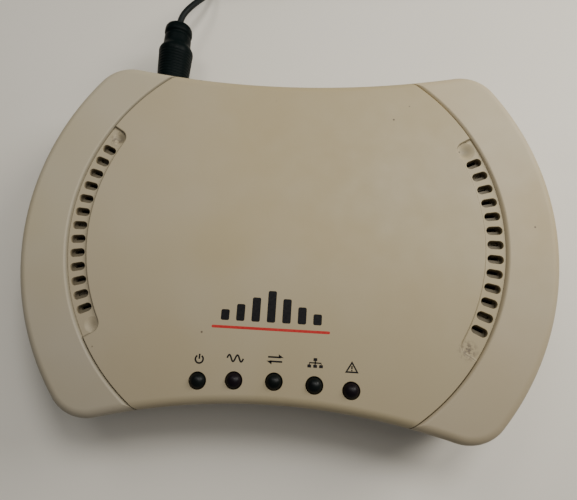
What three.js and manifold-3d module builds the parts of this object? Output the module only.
// A desktop broadband modem with its plugged-in power lead, coiled cord and wall adapter.
// Millimetres, +Z up, +X to the right, +Y to the rear. The origin is on the surface that the modem
// stands on, under the middle of its housing.
import * as THREE from "three";
import { mergeVertices } from "three/addons/utils/BufferGeometryUtils.js";
import Module from "manifold-3d";

const wasm = await Module();
wasm.setup();

// ---- Driving dimensions ----

// Plan outline: two bulging sides, a hollow front and rear, four rounded corners.
const SIDE_ARC_R = 85.1;
const SIDE_ARC_CENTRE_X = -1.1; // of the right side; the left side mirrors it
const REAR_WAIST = { halfDepth: 52.2, arcR: 296 };
const FRONT_WAIST = { halfDepth: 50.6, arcR: 203 };
const CORNER_R = 13;

// Heights.
const BASE_BOTTOM_Z = 1.6;
const FLOOR_TOP_Z = 3.6;
const PARTING_Z = 22;
const PARTING_GAP = 0.4;
const TOP_Z = 30;
const EDGE_FILLET = 3.5;
const WALL = 2;
const ROOF = 2.2;

// Side walls of the base, outside and inside, as [inset, height].
const BASE_LEVELS = [
  [3.6, BASE_BOTTOM_Z],
  [2.3, BASE_BOTTOM_Z + 0.5],
  [1.4, BASE_BOTTOM_Z + 1.6],
  [1.1, BASE_BOTTOM_Z + 3.4],
  [0, PARTING_Z],
];
const BASE_CAVITY_LEVELS = [
  [4.6, FLOOR_TOP_Z],
  [3.1, FLOOR_TOP_Z + 1.5],
  [WALL, PARTING_Z + 1],
];

// Curved parting lines, and the slotted recess inside each: circles about (panelArcX(side), 0).
const panelArcX = (side) => (side > 0 ? 1.5 : -2);
const SEAM_R = 66.3;
const SEAM_GAP = 0.3;
const RECESS_R = 60.1;
const RECESS_END = THREE.MathUtils.degToRad(31.5);
const RECESS_DEPTH = 0.9;
const RECESS_FLOOR = 1.6;
const RECESS_CORNER_R = 2;
const RECESS_WALL = 1.2;
const SLOT_R = 63.2;
const SLOT_PITCH = THREE.MathUtils.degToRad(4.07);
const SLOTS_PER_SIDE = 13;
const FIRST_SLOT = THREE.MathUtils.degToRad(0.2) - (SLOT_PITCH * (SLOTS_PER_SIDE - 1)) / 2;
const SLOT_LENGTH = 4.8;
const SLOT_WIDTH = 2.6;

// Side cover flange and its tongues, which the centre cover traps.
const FLANGE = 1.4;
const FLANGE_BOTTOM_Z = 24;
const TONGUE_ANGLES = [-20, 0, 20].map(THREE.MathUtils.degToRad);
const TONGUE = { length: 5, width: 6, thickness: 1.2, reach: 1.4, rise: 0.9 };
const LIP_GAP = 0.3;
const LIP_THICKNESS = 1.1;
const LIP_DROP = 2;

// Screws, posts, feet.
const POST_X = 48;
const POST_Y = 28;
const POST_TOP_Z = 17.2;
const POST_R = 4;
const BOSS_R = 3.2;
const SCREW_SHANK_R = 1.4;
const SCREW_HEAD_R = 2.8;
const SCREW_HEAD_Z = 3.6;
const SCREW_END_Z = 25.5;
const SCREW_CROSS = { length: 3.4, width: 0.7, depth: 1 };
const FOOT_X = 57;
const FOOT_Y = 37;
const FOOT_R = 5.4;
const FOOT_SUNK = 0.8;

// Floor vents and board rests.
const VENT_ROWS_Y = [-14, 14];
const VENTS_PER_ROW = 8;
const VENT_PITCH = 5.4;
const VENT_WIDTH = 2.2;
const VENT_HALF_LENGTH = 9;
const BOARD_REST_R = 2.5;
const BOARD_RESTS = [...fourCorners(30, 18), [0, -38], [0, 38]];

// Circuit board.
const BOARD_TOP_Z = 7;
const BOARD_THICKNESS = 1.6;
const BOARD_HALF_X = 54;
const BOARD_FRONT_Y = -47;
const BOARD_REAR_Y = 48.5;
const ON_BOARD_Z = BOARD_TOP_Z + 0.05;

// Indicator lamps on spacers, on a slight arc: 5 mm lamps, whose domes measure 4.8 mm.
const LAMPS = [
  ["lamp_power", -22.2, -44.9, "#18201c"],
  ["lamp_line", -11.6, -44.2, "#1e181d"],
  ["lamp_session", 0.1, -43.8, "#18201c"],
  ["lamp_network", 11.8, -44.1, "#18201c"],
  ["lamp_alarm", 22.4, -44.9, "#1e181d"],
];
const LAMP_R = 2.4;
const LAMP_FLANGE_R = 2.9;
const LAMP_SEAT_Z = 23.2;
const LAMP_DOME_Z = 29.2;
const LAMP_HOLE_R = 2.55;
const LEAD_OFFSET = 1.27;
const LEAD_THICKNESS = 0.5;
const LEAD_HOLE = 0.9;
const LEAD_BELOW_BOARD = 2.8;
const SPACER_R = 2.8;
const SPACER_BORE_R = 2;

// Power inlet and plug, on one axis along Y.
const POWER_X = -47;
const POWER_Z = BOARD_TOP_Z + 6.5;
const JACK_FACE_Y = 55;
const JACK_LENGTH = 14.2;
const JACK_WIDTH = 9;
const JACK_HEIGHT = 11;
const JACK_BORE_R = 3.2;
const JACK_BORE_DEPTH = 10.6;
const JACK_PIN_R = 1;
const JACK_PIN_SET_BACK = 1.5;
const JACK_SPRING_SPAN = [9, 2]; // in front of the jack's face
const PLUG_FACE_Y = 57.3;
const PLUG_END_Y = 86.9;
const GRIP_PROFILE = [
  [0, PLUG_FACE_Y],
  [5, PLUG_FACE_Y],
  [5.6, PLUG_FACE_Y + 0.8],
  [6.4, PLUG_END_Y - 12.9],
  [6.2, PLUG_END_Y - 11.6],
  [5.2, PLUG_END_Y - 9.5],
  [5, PLUG_END_Y - 5.5],
  [5.2, PLUG_END_Y - 4.7],
  [5.1, PLUG_END_Y - 2.3],
  [4.2, PLUG_END_Y - 1.1],
  [2, PLUG_END_Y - 0.7],
  [1.5, PLUG_END_Y],
  [0, PLUG_END_Y],
];
const SLEEVE_R = 2.75;
const SLEEVE_BORE_R = 2.25;
const SLEEVE_LENGTH = 10;
const SLEEVE_ROOT = 2.9; // how far it runs into the grip
const INSULATOR_R = 2.15;
const INSULATOR_BORE_R = 1.3;

// Sockets and buttons along the rear.
const NETWORK_X = 4;
const NETWORK_FACE_Y = 51.8;
const NETWORK_SIZE = { width: 16, depth: 15.6, height: 13.3 };
const NETWORK_CAVITY = { width: 11.9, height: 7.6, depth: 12.8, floor: 3.8, latch: 6.2 };
const CONTACT_PITCH = 1.27;
const LINE_X = 28;
const LINE_FACE_Y = 52.7;
const LINE_SIZE = { width: 13.2, depth: 13.6, height: 11.7 };
const LINE_CAVITY = { width: 9.9, height: 6.9, depth: 11.4, floor: 3.4, latch: 6 };
const PORT_CLEARANCE = 0.3;
const SWITCH_X = -31;
const SWITCH_Z = BOARD_TOP_Z + 5;
const SWITCH_FACE_Y = 46.7;
const SWITCH_BODY = { width: 8.4, depth: 9.6, above: 4, guideDepth: 7.2, stemDepth: 4.2 };
const BUTTON_SIZE = 6.2;
const BUTTON_SPAN_Y = [49.3, 56.7];
const BUTTON_STEM = 3.4;
const RESET_X = -19.5;
const RESET_Z = BOARD_TOP_Z + 4.5;
const RESET_FACE_Y = 47.5;
const RESET_BODY = { width: 7, depth: 4.4, above: 3.2, guideDepth: 2 };
const RESET_PIN_R = 1.6;
const RESET_PIN_SPAN_Y = [46.1, 49.7];
const RESET_HOLE_R = 1.3;

// Power cord.
const CORD_R = 1.2;
const TOUCH_GAP = 0.3;
const COIL_X = -20;
const COIL_Y = 133.5;
const COIL_INNER_R = 8.3;
const COIL_OUTER_R = 18.1;
const COIL_BOTTOM_Z = 0.7;
const COIL_TOP_Z = 10.5;
const COIL_CHAMFER = 1.6;
const TIE_WIDTH = 4;
const TIE_ANGLE = THREE.MathUtils.degToRad(-65);

// Wall adapter, lying on its back behind the coil with its blades up.
const ADAPTER_X = 55;
const ADAPTER_Y = 150.4;
const ADAPTER_LENGTH = 54;
const ADAPTER_WIDTH = 38;
const ADAPTER_SPLIT_Z = 17;
const ADAPTER_TOP_Z = 27;
const ADAPTER_CORNER_R = 5;
const ADAPTER_EDGE = 1.6;
const BLADE = { spacing: 12.7, width: 6.3, thickness: 1.5, length: 16, root: 4.9, holeR: 1.5, holeAt: 12.5 };
const BLADE_POCKET = { width: 6.8, thickness: 2, depth: 5 };
const BUSH_Z = 7;
const BUSH_LENGTH = 12;
const BUSH_BORE = { r: 2.6, depth: 4 };
const BUSH_PROFILE = [
  [0, -3.7],
  [2.3, -3.7],
  [2.3, 0.2],
  [3.4, 0.2],
  [3.2, 2],
  [1.8, BUSH_LENGTH],
  [0, BUSH_LENGTH],
];

// Route of the cord where it isn't coiled, as points of its centre line.
const CORD_FROM_PLUG = [
  [-47, 87.2, 13.5],
  [-46.6, 90.4, 13.3],
  [-45.5, 93.4, 12.9],
  [-43.8, 96.7, 12.1],
  [-41.9, 100.3, 10.7],
  [-40.3, 103.9, 8.9],
  [-39.1, 107.4, 6.8],
  [-38.4, 111, 4.7],
  [-38.1, 114.7, 3],
  [-38.1, 118.5, 1.8],
  [-38.4, 122.4, 1.3],
  [-38.8, 126.3, 1.3],
  [-39.3, 130.1, 1.3],
];
const CORD_TO_ADAPTER = [
  [-16.6, 152.9, 7.2],
  [-12.8, 152.3, 5.8],
  [-9, 151.7, 4.2],
  [-5.2, 151.2, 2.7],
  [-1.4, 150.8, 1.7],
  [2.2, 150.6, 1.4],
  [5.6, 150.5, 1.9],
  [8.8, 150.4, 3.5],
  [11.4, 150.4, 5.4],
  [13.6, 150.4, 6.7],
  [15.7, 150.4, 7],
];

// ---- Solids ----

// A closed three.js geometry as a manifold-3d solid.
function solidOf(geometry) {
  const bare = geometry.clone();
  bare.deleteAttribute("normal");
  bare.deleteAttribute("uv");
  const merged = mergeVertices(bare, 1e-4);
  const mesh = new wasm.Mesh({
    numProp: 3,
    vertProperties: merged.attributes.position.array,
    triVerts: new Uint32Array(merged.index.array),
  });
  return new wasm.Manifold(mesh);
}

function geometryOf(solid) {
  const mesh = solid.getMesh();
  const geometry = new THREE.BufferGeometry();
  geometry.setAttribute("position", new THREE.BufferAttribute(mesh.vertProperties, 3));
  geometry.setIndex(new THREE.BufferAttribute(mesh.triVerts, 1));
  geometry.computeVertexNormals();
  return geometry;
}

function box([x0, x1], [y0, y1], [z0, z1]) {
  const geometry = new THREE.BoxGeometry(x1 - x0, y1 - y0, z1 - z0);
  geometry.translate((x0 + x1) / 2, (y0 + y1) / 2, (z0 + z1) / 2);
  return solidOf(geometry);
}

// A box given by its centre in X, its width, and its spans in Y and Z.
function centredBox(x, width, ySpan, zSpan) {
  return box([x - width / 2, x + width / 2], ySpan, zSpan);
}

function cylinderZ(x, y, r, [z0, z1], segments = 24) {
  const geometry = new THREE.CylinderGeometry(r, r, z1 - z0, segments);
  geometry.rotateX(Math.PI / 2);
  geometry.translate(x, y, (z0 + z1) / 2);
  return solidOf(geometry);
}

function cylinderY(x, z, r, [y0, y1], segments = 24) {
  const geometry = new THREE.CylinderGeometry(r, r, y1 - y0, segments);
  geometry.translate(x, (y0 + y1) / 2, z);
  return solidOf(geometry);
}

// A solid of revolution about a vertical axis; its profile is a list of [radius, height].
function turnedZ(x, y, profile, segments = 16) {
  const points = profile.map(([r, h]) => new THREE.Vector2(r, h));
  const geometry = new THREE.LatheGeometry(points, segments);
  geometry.rotateX(Math.PI / 2);
  geometry.translate(x, y, 0);
  return solidOf(geometry);
}

// The same about an axis along Y; its profile is a list of [radius, place along Y].
function turnedY(x, z, profile, segments = 20) {
  const points = profile.map(([r, h]) => new THREE.Vector2(r, h));
  const geometry = new THREE.LatheGeometry(points, segments);
  geometry.translate(x, 0, z);
  return solidOf(geometry);
}

// An extruded outline, standing on z0 and ending at z1.
function prism(points, [z0, z1]) {
  const shape = new THREE.Shape(points.map(([x, y]) => new THREE.Vector2(x, y)));
  const geometry = new THREE.ExtrudeGeometry(shape, { depth: z1 - z0, bevelEnabled: false });
  geometry.translate(0, 0, z0);
  return solidOf(geometry);
}

function joined(solids) {
  return solids.reduce((whole, solid) => whole.add(solid));
}

function fourCorners(x, y) {
  return [[x, y], [-x, y], [-x, -y], [x, -y]];
}

// Points on an arc about (cx, cy), both ends included.
function arc(cx, cy, r, from, to, steps) {
  const points = [];
  for (let i = 0; i <= steps; i++) {
    const angle = from + ((to - from) * i) / steps;
    points.push([cx + r * Math.cos(angle), cy + r * Math.sin(angle)]);
  }
  return points;
}

// ---- The housing's plan outline ----

// The centre of a corner arc: CORNER_R inside the side circle and outside the waist circle.
function cornerArcCentre(waist) {
  const waistCentreY = waist.halfDepth + waist.arcR;
  const fromSide = SIDE_ARC_R - CORNER_R;
  const fromWaist = waist.arcR + CORNER_R;
  const span = Math.hypot(SIDE_ARC_CENTRE_X, waistCentreY);
  const along = (fromSide ** 2 - fromWaist ** 2 + span ** 2) / (2 * span);
  const aside = Math.sqrt(fromSide ** 2 - along ** 2);
  const ux = -SIDE_ARC_CENTRE_X / span;
  const uy = waistCentreY / span;
  return { x: SIDE_ARC_CENTRE_X + ux * along + uy * aside, y: uy * along - ux * aside };
}

// One end of the outline, moved inwards by inset: from the middle of the right side, round the
// corner, along the waist and back to the middle of the left side.
function outlineEnd(waist, inset) {
  const { x, y } = cornerArcCentre(waist);
  const waistCentreY = waist.halfDepth + waist.arcR;
  const sideTangent = Math.atan2(y, x - SIDE_ARC_CENTRE_X);
  const waistTangent = Math.atan2(waistCentreY - y, x);
  const side = arc(SIDE_ARC_CENTRE_X, 0, SIDE_ARC_R - inset, 0, sideTangent, 7);
  const corner = arc(x, y, CORNER_R - inset, sideTangent, Math.PI - waistTangent, 5).slice(1);
  const hollow = arc(0, waistCentreY, waist.arcR + inset, -waistTangent, waistTangent - Math.PI, 10);
  const rightPart = [...side, ...corner];
  const leftPart = rightPart.map(([px, py]) => [-px, py]).reverse();
  return [...rightPart, ...hollow.slice(1, -1), ...leftPart];
}

// The whole outline, anticlockwise.
function outline(inset) {
  const rear = outlineEnd(REAR_WAIST, inset);
  const front = outlineEnd(FRONT_WAIST, inset).map(([x, y]) => [-x, -y]);
  return [...rear.slice(0, -1), ...front.slice(0, -1)];
}

// A solid with the housing's outline at each level, given as [inset, height] from the bottom up.
function outlineSolid(levels) {
  const rings = levels.map(([inset, z]) => outline(inset).map(([x, y]) => [x, y, z]));
  const count = rings[0].length;
  const faces = [];
  for (let k = 0; k + 1 < rings.length; k++) {
    for (let i = 0; i < count; i++) {
      const a = k * count + i;
      const b = k * count + ((i + 1) % count);
      faces.push(a, b, b + count, a, b + count, a + count);
    }
  }
  const cap = (ring) => ring.map(([x, y]) => new THREE.Vector2(x, y));
  for (const [a, b, c] of THREE.ShapeUtils.triangulateShape(cap(rings[0]), [])) {
    faces.push(c, b, a);
  }
  const top = (rings.length - 1) * count;
  for (const [a, b, c] of THREE.ShapeUtils.triangulateShape(cap(rings.at(-1)), [])) {
    faces.push(top + a, top + b, top + c);
  }
  const geometry = new THREE.BufferGeometry();
  geometry.setAttribute("position", new THREE.Float32BufferAttribute(rings.flat(2), 3));
  geometry.setIndex(faces);
  return solidOf(geometry);
}

// Levels of a quarter-round edge of radius r that ends at inset and height topZ.
function roundedTop(inset, topZ, r, steps) {
  const levels = [];
  for (let i = 0; i <= steps; i++) {
    const angle = (i / steps) * (Math.PI / 2);
    levels.push([inset + r * (1 - Math.cos(angle)), topZ - r + r * Math.sin(angle)]);
  }
  return levels;
}

// ---- The upper housing: centre cover and two side covers ----

const UPPER_BOTTOM_Z = PARTING_Z + PARTING_GAP;
const ROOF_UNDER_Z = TOP_Z - ROOF;
const RECESS_Z = TOP_Z - RECESS_DEPTH;

function upperBlock() {
  return outlineSolid([[0, UPPER_BOTTOM_Z], ...roundedTop(0, TOP_Z, EDGE_FILLET, 4)]);
}

function upperShell() {
  const inner = roundedTop(WALL, ROOF_UNDER_Z, EDGE_FILLET - WALL, 2);
  return upperBlock().subtract(outlineSolid([[WALL, UPPER_BOTTOM_Z - 1], ...inner]));
}

// A lip that drops inside the base's wall, all the way round.
function lip() {
  const span = [UPPER_BOTTOM_Z - LIP_DROP, UPPER_BOTTOM_Z + 1];
  const outer = WALL + LIP_GAP;
  const ring = outlineSolid([[outer, span[0]], [outer, span[1]]]);
  const hole = outlineSolid([[outer + LIP_THICKNESS, span[0] - 1], [outer + LIP_THICKNESS, span[1] + 1]]);
  const shelf = outlineSolid([[WALL - 1, UPPER_BOTTOM_Z], [WALL - 1, UPPER_BOTTOM_Z + 1]]);
  return ring.add(shelf).subtract(hole);
}

function panelDisc(side, r, span) {
  return cylinderZ(panelArcX(side), 0, r, span, 96);
}

// The recess in plan: a ring sector with its two inner corners rounded.
function recessPlan(side, grow) {
  const inner = RECESS_R - grow;
  const outer = SEAM_R + 4;
  const end = RECESS_END + grow / SLOT_R;
  const corner = RECESS_CORNER_R + grow;
  const turn = corner / inner;
  const polar = (r, angle) => [panelArcX(side) + side * r * Math.cos(angle), r * Math.sin(angle)];
  const points = [];
  for (let i = 0; i <= 4; i++) {
    points.push(polar(outer, -end + (2 * end * i) / 4));
  }
  for (let i = 0; i <= 3; i++) {
    const a = (i / 3) * (Math.PI / 2);
    points.push(polar(inner + corner * (1 - Math.sin(a)), end - turn * (1 - Math.cos(a))));
  }
  for (let i = 1; i < 12; i++) {
    points.push(polar(inner, (end - turn) * (1 - (2 * i) / 12)));
  }
  for (let i = 3; i >= 0; i--) {
    const a = (i / 3) * (Math.PI / 2);
    points.push(polar(inner + corner * (1 - Math.sin(a)), -end + turn * (1 - Math.cos(a))));
  }
  return points;
}

// One vent slot in plan, its length along the radius.
function slotPlan(side, angle) {
  const half = (SLOT_LENGTH - SLOT_WIDTH) / 2;
  const r = SLOT_WIDTH / 2;
  const ends = [
    ...arc(SLOT_R + half, 0, r, -Math.PI / 2, Math.PI / 2, 4),
    ...arc(SLOT_R - half, 0, r, Math.PI / 2, (3 * Math.PI) / 2, 4),
  ];
  return ends.map(([x, y]) => [
    panelArcX(side) + side * (x * Math.cos(angle) - y * Math.sin(angle)),
    x * Math.sin(angle) + y * Math.cos(angle),
  ]);
}

function topCover() {
  const span = [10, TOP_Z + 5];
  const panel = panelDisc(1, SEAM_R - SEAM_GAP, span).add(panelDisc(-1, SEAM_R - SEAM_GAP, span));
  const frontLip = lip().intersect(box([-34, 34], [-60, 0], span));
  let cover = upperShell().add(frontLip);
  for (const side of [-1, 1]) {
    const tray = prism(recessPlan(side, RECESS_WALL), [RECESS_Z - RECESS_FLOOR, ROOF_UNDER_Z + 0.5]);
    cover = cover.add(tray.intersect(upperBlock()));
  }
  cover = cover.intersect(panel);
  for (const side of [-1, 1]) {
    cover = cover.subtract(prism(recessPlan(side, 0), [RECESS_Z, TOP_Z + 2]));
    for (let i = 0; i < SLOTS_PER_SIDE; i++) {
      const angle = FIRST_SLOT + i * SLOT_PITCH;
      cover = cover.subtract(prism(slotPlan(side, angle), [RECESS_Z - 3, RECESS_Z + 1]));
    }
  }
  for (const [x, y] of fourCorners(POST_X, POST_Y)) {
    cover = cover.add(cylinderZ(x, y, BOSS_R, [POST_TOP_Z + 0.4, ROOF_UNDER_Z + 0.5], 16));
    cover = cover.subtract(cylinderZ(x, y, SCREW_SHANK_R + 0.2, [POST_TOP_Z - 1, SCREW_END_Z + 0.8], 12));
  }
  for (const [, x, y] of LAMPS) {
    cover = cover.subtract(cylinderZ(x, y, LAMP_HOLE_R, [ROOF_UNDER_Z - 1, TOP_Z + 1], 24));
  }
  return cover;
}

// The crescent outside one parting line, with a flange along it and three tongues.
function sideCover(side) {
  const span = [10, TOP_Z + 5];
  const half = side > 0 ? box([0, 100], [-80, 80], span) : box([-100, 0], [-80, 80], span);
  const sideLip = lip().intersect(box([-100, 100], [-30, 30], span));
  const flangeRing = panelDisc(side, SEAM_R + FLANGE, [FLANGE_BOTTOM_Z, TOP_Z + 2]);
  let cover = upperShell().add(sideLip).add(flangeRing.intersect(upperBlock())).intersect(half);
  cover = cover.subtract(panelDisc(side, SEAM_R, span));
  for (const angle of TONGUE_ANGLES) {
    const tongue = new THREE.BoxGeometry(TONGUE.length, TONGUE.width, TONGUE.thickness);
    tongue.translate(SEAM_R - TONGUE.reach, 0, FLANGE_BOTTOM_Z + TONGUE.rise);
    tongue.rotateZ(side > 0 ? angle : angle + Math.PI);
    tongue.translate(panelArcX(side), 0, 0);
    cover = cover.add(solidOf(tongue));
  }
  return cover;
}

// ---- The base ----

function baseShell() {
  let base = outlineSolid(BASE_LEVELS).subtract(outlineSolid(BASE_CAVITY_LEVELS));
  for (const [x, y] of fourCorners(POST_X, POST_Y)) {
    base = base.add(cylinderZ(x, y, POST_R, [FLOOR_TOP_Z - 0.5, POST_TOP_Z], 20));
    base = base.subtract(cylinderZ(x, y, SCREW_SHANK_R + 0.4, [0, POST_TOP_Z + 1], 12));
    base = base.subtract(cylinderZ(x, y, SCREW_HEAD_R + 0.4, [0, SCREW_HEAD_Z + 1.9], 16));
  }
  for (const [x, y] of fourCorners(FOOT_X, FOOT_Y)) {
    base = base.subtract(cylinderZ(x, y, FOOT_R + 0.3, [0, BASE_BOTTOM_Z + FOOT_SUNK], 20));
  }
  const restSpan = [FLOOR_TOP_Z - 0.5, BOARD_TOP_Z - BOARD_THICKNESS - 0.05];
  for (const [x, y] of BOARD_RESTS) {
    base = base.add(cylinderZ(x, y, BOARD_REST_R, restSpan, 12));
  }
  return withVentsAndPorts(base);
}

// Floor vents, and the holes in the rear wall for the sockets and buttons.
function withVentsAndPorts(base) {
  let cut = base;
  for (const y of VENT_ROWS_Y) {
    for (let i = 0; i < VENTS_PER_ROW; i++) {
      const x = (i - (VENTS_PER_ROW - 1) / 2) * VENT_PITCH;
      const ySpan = [y - VENT_HALF_LENGTH, y + VENT_HALF_LENGTH];
      cut = cut.subtract(centredBox(x, VENT_WIDTH, ySpan, [0, FLOOR_TOP_Z + 1]));
    }
  }
  const through = [46, 62];
  const port = (x, width, height) => {
    const zSpan = [ON_BOARD_Z - PORT_CLEARANCE, ON_BOARD_Z + height + PORT_CLEARANCE];
    return centredBox(x, width + 2 * PORT_CLEARANCE, through, zSpan);
  };
  const buttonHalf = BUTTON_SIZE / 2 + PORT_CLEARANCE;
  const buttonZ = [SWITCH_Z - buttonHalf, SWITCH_Z + buttonHalf];
  cut = cut.subtract(port(POWER_X, JACK_WIDTH, JACK_HEIGHT));
  cut = cut.subtract(port(NETWORK_X, NETWORK_SIZE.width, NETWORK_SIZE.height));
  cut = cut.subtract(port(LINE_X, LINE_SIZE.width, LINE_SIZE.height));
  cut = cut.subtract(centredBox(SWITCH_X, 2 * buttonHalf, through, buttonZ));
  return cut.subtract(cylinderY(RESET_X, RESET_Z, RESET_HOLE_R, through, 16));
}

function foot(x, y) {
  const top = BASE_BOTTOM_Z + FOOT_SUNK - 0.05;
  const edge = [[FOOT_R - 0.5, 0], [FOOT_R, 0.5], [FOOT_R, top - 0.2], [FOOT_R - 0.2, top]];
  const profile = [[0, 0], ...edge, [0, top]];
  return turnedZ(x, y, profile, 20);
}

function caseScrew(x, y) {
  const shoulder = SCREW_HEAD_Z + 1.8;
  const profile = [
    [0, SCREW_HEAD_Z],
    [SCREW_HEAD_R - 0.6, SCREW_HEAD_Z],
    [SCREW_HEAD_R, SCREW_HEAD_Z + 0.7],
    [SCREW_HEAD_R, shoulder],
    [SCREW_SHANK_R, shoulder],
    [SCREW_SHANK_R, SCREW_END_Z - 1.5],
    [0, SCREW_END_Z],
  ];
  const cross = [SCREW_HEAD_Z - 1, SCREW_HEAD_Z + SCREW_CROSS.depth];
  const half = { along: SCREW_CROSS.length / 2, across: SCREW_CROSS.width / 2 };
  const slotA = box([x - half.along, x + half.along], [y - half.across, y + half.across], cross);
  const slotB = box([x - half.across, x + half.across], [y - half.along, y + half.along], cross);
  return turnedZ(x, y, profile, 14).subtract(slotA).subtract(slotB);
}

// ---- The circuit board and what stands on it ----

function circuitBoard() {
  const span = [BOARD_TOP_Z - BOARD_THICKNESS, BOARD_TOP_Z];
  let board = box([-BOARD_HALF_X, BOARD_HALF_X], [BOARD_FRONT_Y, BOARD_REAR_Y], span);
  const cut = [span[0] - 1, span[1] + 1];
  for (const [x, y] of fourCorners(POST_X, POST_Y)) {
    board = board.subtract(cylinderZ(x, y, POST_R + 0.4, cut, 20));
  }
  for (const [, x, y] of LAMPS) {
    for (const lead of [-LEAD_OFFSET, LEAD_OFFSET]) {
      const hole = [y - LEAD_HOLE / 2, y + LEAD_HOLE / 2];
      board = board.subtract(centredBox(x + lead, LEAD_HOLE, hole, cut));
    }
  }
  return board;
}

function lamp(x, y) {
  const dome = [];
  for (let i = 0; i <= 3; i++) {
    const angle = (i / 3) * (Math.PI / 2);
    dome.push([i === 3 ? 0 : LAMP_R * Math.cos(angle), LAMP_DOME_Z + LAMP_R * Math.sin(angle)]);
  }
  const profile = [
    [0, LAMP_SEAT_Z],
    [LAMP_FLANGE_R, LAMP_SEAT_Z],
    [LAMP_FLANGE_R, LAMP_SEAT_Z + 1],
    [LAMP_R, LAMP_SEAT_Z + 1],
    ...dome,
  ];
  const leadY = [y - LEAD_THICKNESS / 2, y + LEAD_THICKNESS / 2];
  const leadZ = [BOARD_TOP_Z - LEAD_BELOW_BOARD, LAMP_SEAT_Z + 0.5];
  const leads = [-LEAD_OFFSET, LEAD_OFFSET].map((offset) =>
    centredBox(x + offset, LEAD_THICKNESS, leadY, leadZ),
  );
  return joined([turnedZ(x, y, profile, 14), ...leads]);
}

function lampSpacer(x, y) {
  const span = [ON_BOARD_Z, LAMP_SEAT_Z - 0.05];
  const bore = [span[0] - 1, span[1] + 1];
  return cylinderZ(x, y, SPACER_R, span, 12).subtract(cylinderZ(x, y, SPACER_BORE_R, bore, 10));
}

function chip(x, y, width, depth, height) {
  return centredBox(x, width, [y - depth / 2, y + depth / 2], [ON_BOARD_Z, ON_BOARD_Z + height]);
}

// An electrolytic capacitor: a can with a crimp groove near its foot and a rolled top edge.
function capacitor(x, y, r, height) {
  const z = ON_BOARD_Z;
  const profile = [
    [0, z],
    [r, z],
    [r, z + 1],
    [r - 0.4, z + 1.6],
    [r, z + 2.2],
    [r, z + height - 0.4],
    [r - 0.4, z + height],
    [0, z + height],
  ];
  return turnedZ(x, y, profile, 14);
}

function powerInductor(x, y) {
  const foot = chip(x, y, 12, 12, 1.2);
  const drum = cylinderZ(x, y, 5.6, [ON_BOARD_Z + 1, ON_BOARD_Z + 6.5], 20);
  return foot.add(drum);
}

function lineTransformer(x, y) {
  const bobbin = chip(x, y, 13, 10, 9);
  const core = chip(x, y, 9, 14, 11);
  return bobbin.add(core);
}

function regulator(x, y) {
  return chip(x, y, 6.6, 6.2, 2.3).add(chip(x, y + 3.6, 5.4, 3, 0.6));
}

// ---- Sockets, switches ----

function powerJack() {
  const span = [JACK_FACE_Y - JACK_LENGTH, JACK_FACE_Y];
  const body = centredBox(POWER_X, JACK_WIDTH, span, [ON_BOARD_Z, ON_BOARD_Z + JACK_HEIGHT]);
  return body.subtract(cylinderY(POWER_X, POWER_Z, JACK_BORE_R, [span[1] - JACK_BORE_DEPTH, span[1] + 1]));
}

function powerJackPin() {
  const start = JACK_FACE_Y - JACK_BORE_DEPTH + 0.1;
  const tip = JACK_FACE_Y - JACK_PIN_SET_BACK;
  const point = [[JACK_PIN_R, tip - 0.8], [JACK_PIN_R / 2, tip], [0, tip]];
  return turnedY(POWER_X, POWER_Z, [[0, start], [JACK_PIN_R, start], ...point], 12);
}

function powerJackSpring() {
  const span = JACK_SPRING_SPAN.map((depth) => JACK_FACE_Y - depth);
  return centredBox(POWER_X, 1, span, [POWER_Z - 3.1, POWER_Z - 2.9]);
}

// A modular socket: a block with a cavity and a latch channel below it, open to the rear.
function modularSocket(x, faceY, size, cavity) {
  const body = centredBox(x, size.width, [faceY - size.depth, faceY], [ON_BOARD_Z, ON_BOARD_Z + size.height]);
  const open = [faceY - cavity.depth, faceY + 1];
  const floorZ = ON_BOARD_Z + cavity.floor;
  const main = centredBox(x, cavity.width, open, [floorZ, floorZ + cavity.height]);
  const latch = centredBox(x, cavity.latch, open, [ON_BOARD_Z + 1.2, floorZ + 1]);
  return body.subtract(main).subtract(latch);
}

// The contact block at the inner top of a socket, with its springs slanting down and inwards.
function socketContacts(x, faceY, cavity, count) {
  const top = ON_BOARD_Z + cavity.floor + cavity.height - 0.1;
  const back = faceY - cavity.depth + 0.1;
  const parts = [centredBox(x, cavity.width - 0.3, [back, back + 2], [top - 3.6, top])];
  for (let i = 0; i < count; i++) {
    const spring = new THREE.BoxGeometry(0.5, 6.4, 0.35);
    spring.rotateX(THREE.MathUtils.degToRad(24));
    spring.translate(x + (i - (count - 1) / 2) * CONTACT_PITCH, back + 4.4, top - 1.5);
    parts.push(solidOf(spring));
  }
  return joined(parts);
}

function powerSwitchBody() {
  const { width, depth, above, guideDepth } = SWITCH_BODY;
  const height = [ON_BOARD_Z, SWITCH_Z + above];
  const body = centredBox(SWITCH_X, width, [SWITCH_FACE_Y - depth, SWITCH_FACE_Y], height);
  const guide = BUTTON_STEM / 2 + PORT_CLEARANCE;
  const guideY = [SWITCH_FACE_Y - guideDepth, SWITCH_FACE_Y + 1];
  return body.subtract(centredBox(SWITCH_X, 2 * guide, guideY, [SWITCH_Z - guide, SWITCH_Z + guide]));
}

function powerSwitchButton() {
  const square = (size, ySpan) => {
    return centredBox(SWITCH_X, size, ySpan, [SWITCH_Z - size / 2, SWITCH_Z + size / 2]);
  };
  const cap = square(BUTTON_SIZE, BUTTON_SPAN_Y);
  return cap.add(square(BUTTON_STEM, [SWITCH_FACE_Y - SWITCH_BODY.stemDepth, BUTTON_SPAN_Y[0] + 0.2]));
}

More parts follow.
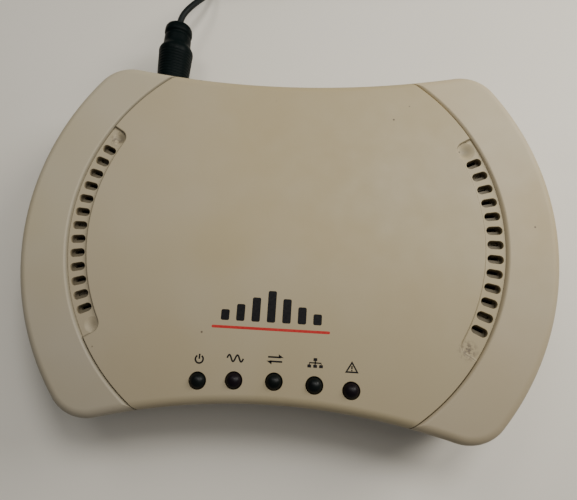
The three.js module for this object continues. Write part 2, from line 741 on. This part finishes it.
function resetSwitchBody() {
  const { width, depth, above, guideDepth } = RESET_BODY;
  const height = [ON_BOARD_Z, RESET_Z + above];
  const body = centredBox(RESET_X, width, [RESET_FACE_Y - depth, RESET_FACE_Y], height);
  const guide = RESET_PIN_R + PORT_CLEARANCE;
  const guideY = [RESET_FACE_Y - guideDepth, RESET_FACE_Y + 1];
  return body.subtract(cylinderY(RESET_X, RESET_Z, guide, guideY, 14));
}

function resetSwitchButton() {
  return cylinderY(RESET_X, RESET_Z, RESET_PIN_R, RESET_PIN_SPAN_Y, 14);
}

// ---- Plug, cord and adapter ----

function plugGrip() {
  const socket = cylinderY(POWER_X, POWER_Z, SLEEVE_R + 0.1, [PLUG_FACE_Y - 1, PLUG_FACE_Y + 3]);
  return turnedY(POWER_X, POWER_Z, GRIP_PROFILE, 20).subtract(socket);
}

function plugSleeve() {
  const span = [PLUG_FACE_Y - SLEEVE_LENGTH, PLUG_FACE_Y + SLEEVE_ROOT];
  const bore = cylinderY(POWER_X, POWER_Z, SLEEVE_BORE_R, [span[0] - 1, span[1] - 0.8]);
  return cylinderY(POWER_X, POWER_Z, SLEEVE_R, span).subtract(bore);
}

function plugInsulator() {
  const span = [PLUG_FACE_Y - SLEEVE_LENGTH + 0.2, PLUG_FACE_Y + SLEEVE_ROOT - 1];
  const bore = cylinderY(POWER_X, POWER_Z, INSULATOR_BORE_R, [span[0] - 1, span[1] - 1], 12);
  return cylinderY(POWER_X, POWER_Z, INSULATOR_R, span, 16).subtract(bore);
}

// A plain tube along a route, one step for every few millimetres.
function cordTube(route, steps) {
  const curve = new THREE.CatmullRomCurve3(route.map((p) => new THREE.Vector3(...p)), false, "centripetal");
  const rim = arc(0, 0, CORD_R, 0, 2 * Math.PI, 8).slice(1);
  const section = new THREE.Shape(rim.map(([x, y]) => new THREE.Vector2(x, y)));
  return solidOf(new THREE.ExtrudeGeometry(section, { steps, extrudePath: curve }));
}

function cordCoil() {
  const c = COIL_CHAMFER;
  const profile = [
    [COIL_INNER_R + c, COIL_BOTTOM_Z],
    [COIL_OUTER_R - c, COIL_BOTTOM_Z],
    [COIL_OUTER_R, COIL_BOTTOM_Z + c],
    [COIL_OUTER_R, COIL_TOP_Z - c],
    [COIL_OUTER_R - c, COIL_TOP_Z],
    [COIL_INNER_R + c, COIL_TOP_Z],
    [COIL_INNER_R, COIL_TOP_Z - c],
    [COIL_INNER_R, COIL_BOTTOM_Z + c],
    [COIL_INNER_R + c, COIL_BOTTOM_Z],
  ];
  return turnedZ(COIL_X, COIL_Y, profile, 28);
}

// A flat band round the coil's turns, one closed loop.
function coilTie() {
  const frame = (grow) => new THREE.BoxGeometry(
    COIL_OUTER_R - COIL_INNER_R + 2 * grow,
    TIE_WIDTH,
    COIL_TOP_Z - COIL_BOTTOM_Z + 2 * grow,
  );
  const place = (geometry) => {
    geometry.translate((COIL_OUTER_R + COIL_INNER_R) / 2, 0, (COIL_TOP_Z + COIL_BOTTOM_Z) / 2);
    geometry.rotateZ(TIE_ANGLE);
    geometry.translate(COIL_X, COIL_Y, 0);
    return solidOf(geometry);
  };
  const hole = frame(TOUCH_GAP);
  hole.scale(1, 2, 1);
  return place(frame(COIL_BOTTOM_Z)).subtract(place(hole));
}

// A block with vertical edges of radius r and edges of radius e at its bottom and top.
function adapterBlock([z0, z1], edgeBottom, edgeTop) {
  const r = ADAPTER_CORNER_R;
  const plan = (inset) => {
    const hx = ADAPTER_LENGTH / 2 - r;
    const hy = ADAPTER_WIDTH / 2 - r;
    const corner = (sx, sy, from) => arc(sx * hx, sy * hy, r - inset, from, from + Math.PI / 2, 4);
    const quarter = Math.PI / 2;
    return [
      ...corner(1, 1, 0),
      ...corner(-1, 1, quarter),
      ...corner(-1, -1, 2 * quarter),
      ...corner(1, -1, 3 * quarter),
    ].map(([x, y]) => [x + ADAPTER_X, y + ADAPTER_Y]);
  };
  const inner = prism(plan(ADAPTER_EDGE), [z0, z1]);
  const outer = prism(plan(0), [z0 + edgeBottom, z1 - edgeTop]);
  return inner.add(outer);
}

function adapterCase() {
  const bush = cylinderX(ADAPTER_X - ADAPTER_LENGTH / 2, BUSH_Z, BUSH_BORE.r, BUSH_BORE.depth);
  return adapterBlock([0, ADAPTER_SPLIT_Z], ADAPTER_EDGE, 0).subtract(bush);
}

function adapterFace() {
  let face = adapterBlock([ADAPTER_SPLIT_Z + TOUCH_GAP, ADAPTER_TOP_Z], 0, ADAPTER_EDGE);
  const { width, thickness, depth } = BLADE_POCKET;
  for (const side of [-1, 1]) {
    const y = ADAPTER_Y + (side * BLADE.spacing) / 2;
    const ySpan = [y - thickness / 2, y + thickness / 2];
    face = face.subtract(centredBox(ADAPTER_X, width, ySpan, [ADAPTER_TOP_Z - depth, ADAPTER_TOP_Z + 1]));
  }
  return face;
}

function adapterBlade(side) {
  const y = ADAPTER_Y + (side * BLADE.spacing) / 2;
  const ySpan = [y - BLADE.thickness / 2, y + BLADE.thickness / 2];
  const zSpan = [ADAPTER_TOP_Z - BLADE.root, ADAPTER_TOP_Z + BLADE.length];
  const hole = cylinderY(ADAPTER_X, ADAPTER_TOP_Z + BLADE.holeAt, BLADE.holeR, [y - 2, y + 2], 12);
  return centredBox(ADAPTER_X, BLADE.width, ySpan, zSpan).subtract(hole);
}

// A short cylinder that runs into the adapter's end wall from outside.
function cylinderX(x, z, r, depth) {
  const geometry = new THREE.CylinderGeometry(r, r, 2 * depth, 16);
  geometry.rotateZ(Math.PI / 2);
  geometry.translate(x, ADAPTER_Y, z);
  return solidOf(geometry);
}

function adapterBush() {
  const wall = ADAPTER_X - ADAPTER_LENGTH / 2;
  const points = BUSH_PROFILE.map(([r, h]) => new THREE.Vector2(r, h));
  const geometry = new THREE.LatheGeometry(points, 16);
  geometry.rotateZ(Math.PI / 2);
  geometry.translate(wall, ADAPTER_Y, BUSH_Z);
  return solidOf(geometry);
}

// ---- Materials and assembly ----

function finish(color, roughness, metalness = 0) {
  return new THREE.MeshStandardMaterial({ color, roughness, metalness });
}

const housing = () => finish("#a59b85", 0.62);
const blackPlastic = () => finish("#121514", 0.45);
const whiteNylon = () => finish("#d9d4c4", 0.5);
const tinned = () => finish("#b9b6ae", 0.3, 1);
const gold = () => finish("#c9a24a", 0.3, 1);
const chipBody = () => finish("#1b1c1e", 0.55);
const rubber = () => finish("#23211f", 0.85);

const modem = new THREE.Group();

function place(name, solid, material) {
  const mesh = new THREE.Mesh(geometryOf(solid), material);
  mesh.name = name;
  modem.add(mesh);
}

place("base_shell", baseShell(), housing());
place("top_cover", topCover(), housing());
place("left_side_cover", sideCover(-1), housing());
place("right_side_cover", sideCover(1), housing());
place("circuit_board", circuitBoard(), finish("#1f5a34", 0.5));

const CORNER_NAMES = ["rear_right", "rear_left", "front_left", "front_right"];
fourCorners(FOOT_X, FOOT_Y).forEach(([x, y], i) => {
  place(`foot_${CORNER_NAMES[i]}`, foot(x, y), rubber());
});
fourCorners(POST_X, POST_Y).forEach(([x, y], i) => {
  place(`screw_${CORNER_NAMES[i]}`, caseScrew(x, y), finish("#8d8b86", 0.35, 1));
});
for (const [name, x, y, color] of LAMPS) {
  place(name, lamp(x, y), finish(color, 0.12));
  place(`${name}_spacer`, lampSpacer(x, y), blackPlastic());
}

// Chips: name, centre in X and Y, width, depth, height.
const CHIPS = [
  ["main_processor", 4, 4, 20, 20, 1.5],
  ["memory_chip", -22, 8, 22.2, 10.2, 1.1],
  ["flash_chip", 28, 0, 12, 18.4, 1.1],
  ["line_driver_chip", 40, 14, 10.3, 7.5, 1.6],
  ["network_transformer", 4, 27, 16, 9.4, 5.8],
];
for (const [name, x, y, width, depth, height] of CHIPS) {
  place(name, chip(x, y, width, depth, height), chipBody());
}
place("line_transformer", lineTransformer(27, 24), finish("#c8a62e", 0.55));

// Capacitors: name, centre in X and Y, radius, height.
const CAPACITORS = [
  ["bulk_capacitor_1", -36, 27, 5, 15],
  ["bulk_capacitor_2", -40, 14, 5, 15],
  ["small_capacitor_1", -24, 27, 3.15, 11],
  ["small_capacitor_2", -15, 27, 3.15, 11],
];
for (const [name, x, y, r, height] of CAPACITORS) {
  place(name, capacitor(x, y, r, height), finish("#22304a", 0.4));
}
place("power_inductor", powerInductor(-40, -4), finish("#3a3632", 0.7));
place("voltage_regulator", regulator(-28, -6), chipBody());
place("clock_crystal", chip(8, -16, 11, 4.6, 3.5), tinned());

place("power_jack", powerJack(), blackPlastic());
place("power_jack_pin", powerJackPin(), tinned());
place("power_jack_spring", powerJackSpring(), tinned());
place(
  "network_socket",
  modularSocket(NETWORK_X, NETWORK_FACE_Y, NETWORK_SIZE, NETWORK_CAVITY),
  blackPlastic(),
);
place("network_socket_contacts", socketContacts(NETWORK_X, NETWORK_FACE_Y, NETWORK_CAVITY, 8), gold());
place("line_socket", modularSocket(LINE_X, LINE_FACE_Y, LINE_SIZE, LINE_CAVITY), blackPlastic());
place("line_socket_contacts", socketContacts(LINE_X, LINE_FACE_Y, LINE_CAVITY, 4), gold());
place("power_switch", powerSwitchBody(), whiteNylon());
place("power_button", powerSwitchButton(), blackPlastic());
place("reset_switch", resetSwitchBody(), blackPlastic());
place("reset_button", resetSwitchButton(), whiteNylon());

place("plug_grip", plugGrip(), finish("#0b1010", 0.42));
place("plug_sleeve", plugSleeve(), tinned());
place("plug_insulator", plugInsulator(), blackPlastic());
place("cord_to_coil", cordTube(CORD_FROM_PLUG, 14), finish("#0e1211", 0.5));
place("cord_coil", cordCoil(), finish("#0e1211", 0.5));
place("coil_tie", coilTie(), finish("#16181a", 0.6));
place("cord_to_adapter", cordTube(CORD_TO_ADAPTER, 12), finish("#0e1211", 0.5));
place("adapter_bush", adapterBush(), blackPlastic());
place("adapter_case", adapterCase(), blackPlastic());
place("adapter_face", adapterFace(), blackPlastic());
place("adapter_blade_front", adapterBlade(-1), tinned());
place("adapter_blade_rear", adapterBlade(1), tinned());

export default modem;
